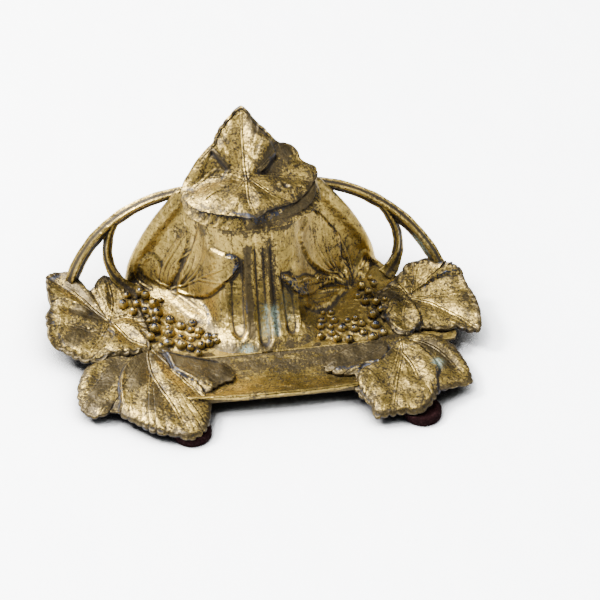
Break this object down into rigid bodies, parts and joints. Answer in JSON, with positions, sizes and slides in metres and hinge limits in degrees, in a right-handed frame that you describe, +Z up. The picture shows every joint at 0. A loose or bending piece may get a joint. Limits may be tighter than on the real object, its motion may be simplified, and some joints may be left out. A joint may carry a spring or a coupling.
{
  "type": "inkwell",
  "caption": "Cast brass inkstand with a leaf-shaped hinged lid over a bell housing, a glass liner, vine leaves and grapes at the corners, two curved handles and a pen channel.",
  "frame": {"origin": "middle of the stand's outline, on the surface that it rests on", "axes": "+Z up, +X to the right seen from the pen channel, -Y towards the pen channel"},
  "size_m": [0.1793, 0.1284, 0.085],
  "materials": {
    "gilt_brass": "aged gilding with brown patina in the recesses",
    "plain_brass": "plain dull brass",
    "steel": "dull oxidised steel",
    "glass": "clear pressed glass",
    "felt": "dark maroon felt"
  },
  "bodies": {
    "stand": {"tray_base": "gilt_brass", "well_housing": "gilt_brass", "housing_screws": "steel", "ink_pot": "glass", "rear_left_leaf": "gilt_brass", "rear_right_leaf": "gilt_brass", "front_left_leaf": "gilt_brass", "front_right_leaf": "gilt_brass", "left_grapes": "gilt_brass", "right_grapes": "gilt_brass", "left_handle": "gilt_brass", "right_handle": "gilt_brass", "left_tendril": "gilt_brass", "right_tendril": "gilt_brass", "hinge_bracket": "gilt_brass", "hinge_pin": "plain_brass", "felt_pad_front_left": "felt", "felt_pad_front_right": "felt", "felt_pad_rear_left": "felt", "felt_pad_rear_right": "felt"},
    "lid": {"lid_leaf": "gilt_brass", "lid_plate": "plain_brass", "lid_collar": "plain_brass", "lid_hinge_strap": "plain_brass", "lid_rivets": "plain_brass"}
  },
  "joints": [
    {"name": "lid_hinge", "type": "hinge", "parent": "stand", "child": "lid", "pos_m": [-0.0015, 0.059, 0.0582], "axis": [-1, 0, 0], "range_deg": [0, 105]}
  ]
}
